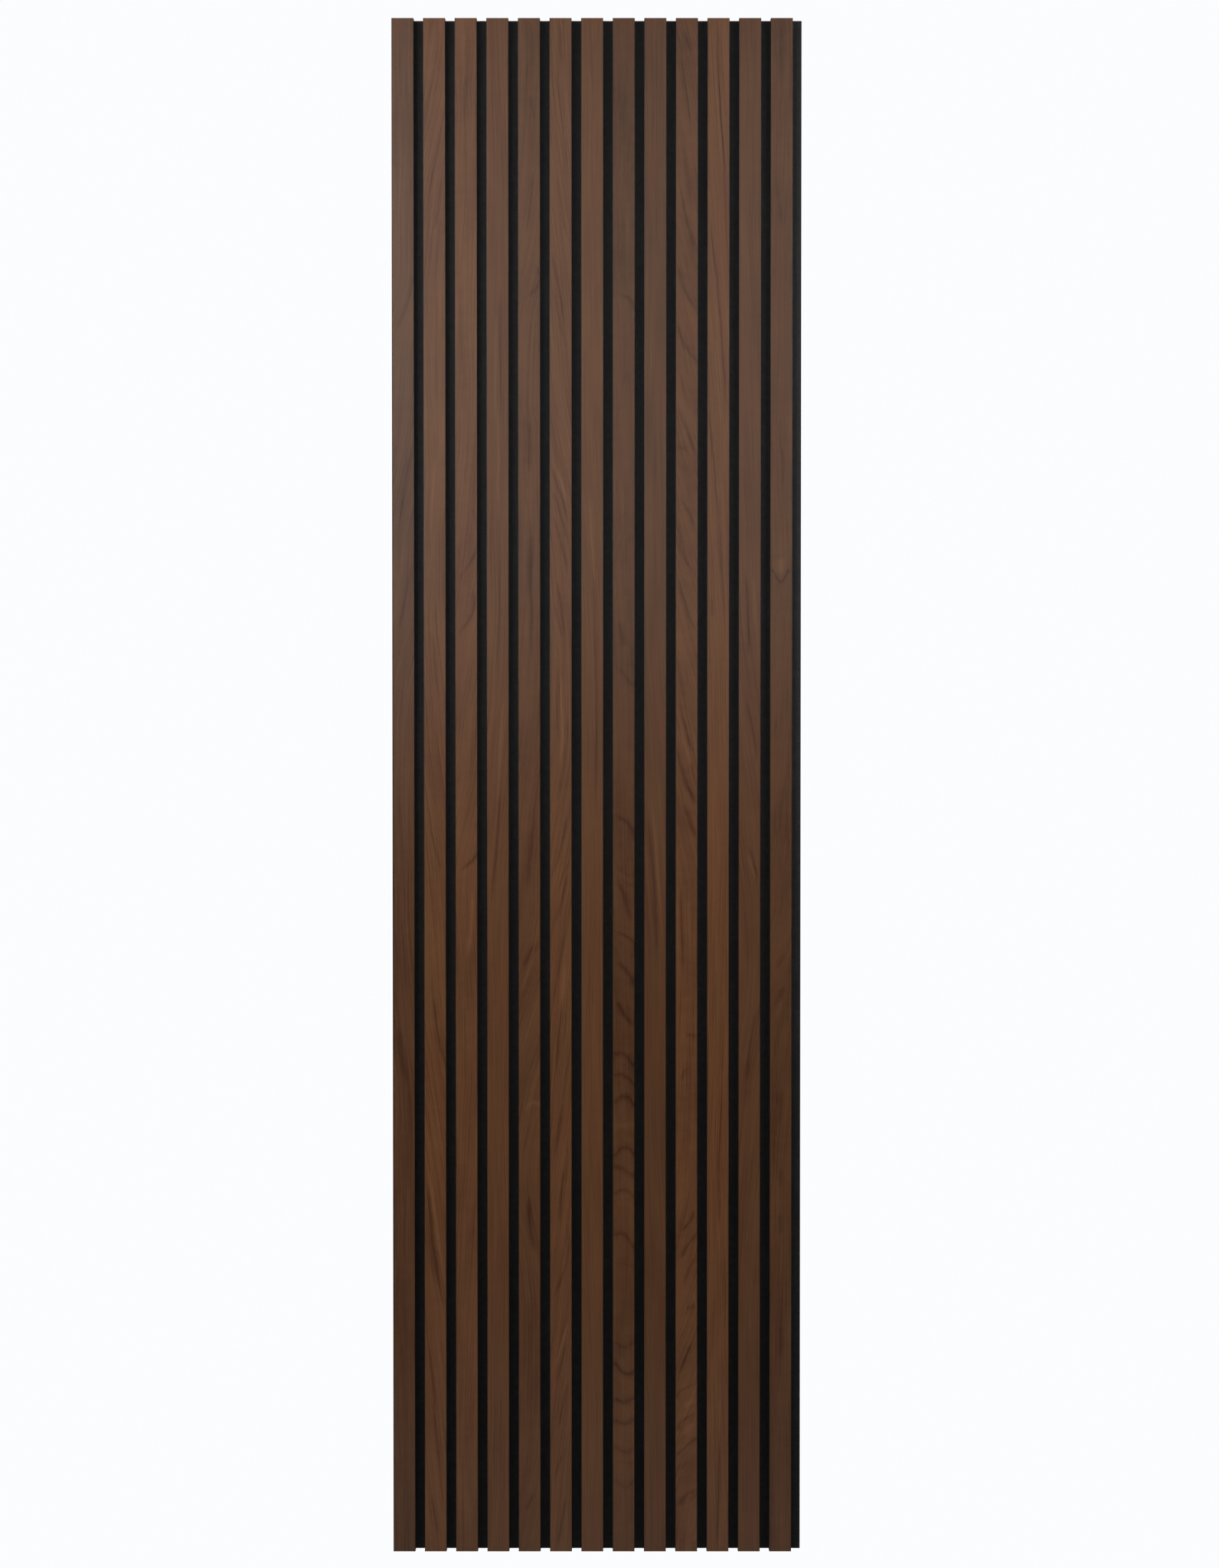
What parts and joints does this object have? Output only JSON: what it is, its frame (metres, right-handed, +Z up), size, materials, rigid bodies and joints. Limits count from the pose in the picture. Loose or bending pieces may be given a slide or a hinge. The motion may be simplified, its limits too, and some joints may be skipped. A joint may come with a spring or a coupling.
{
  "type": "slatted acoustic wall panel",
  "caption": "Tall rectangular wall panel of narrow upright wood-veneered slats, evenly spaced on a black felt sheet, with a bare felt margin down one long edge for the next panel.",
  "frame": {"origin": "centre of the flat back face of the felt, which lies against the wall", "axes": "+Z up along the slats, +Y into the wall, so the slats face -Y, +X to the viewer's right, towards the bare felt margin"},
  "size_m": [0.52, 0.021, 1.95],
  "materials": {
    "felt": "matte needle felt",
    "core_board": "matte black fibreboard",
    "wood_veneer": "dark brown stained wood grain, matt lacquer",
    "staple_wire": "galvanised"
  },
  "bodies": {
    "root": {"felt_backing": "felt", "slat_core_01": "core_board", "slat_core_02": "core_board", "slat_core_03": "core_board", "slat_core_04": "core_board", "slat_core_05": "core_board", "slat_core_06": "core_board", "slat_core_07": "core_board", "slat_core_08": "core_board", "slat_core_09": "core_board", "slat_core_10": "core_board", "slat_core_11": "core_board", "slat_core_12": "core_board", "slat_core_13": "core_board", "veneer_01": "wood_veneer", "veneer_02": "wood_veneer", "veneer_03": "wood_veneer", "veneer_04": "wood_veneer", "veneer_05": "wood_veneer", "veneer_06": "wood_veneer", "veneer_07": "wood_veneer", "veneer_08": "wood_veneer", "veneer_09": "wood_veneer", "veneer_10": "wood_veneer", "veneer_11": "wood_veneer", "veneer_12": "wood_veneer", "veneer_13": "wood_veneer", "staples": "staple_wire"}
  },
  "joints": []
}
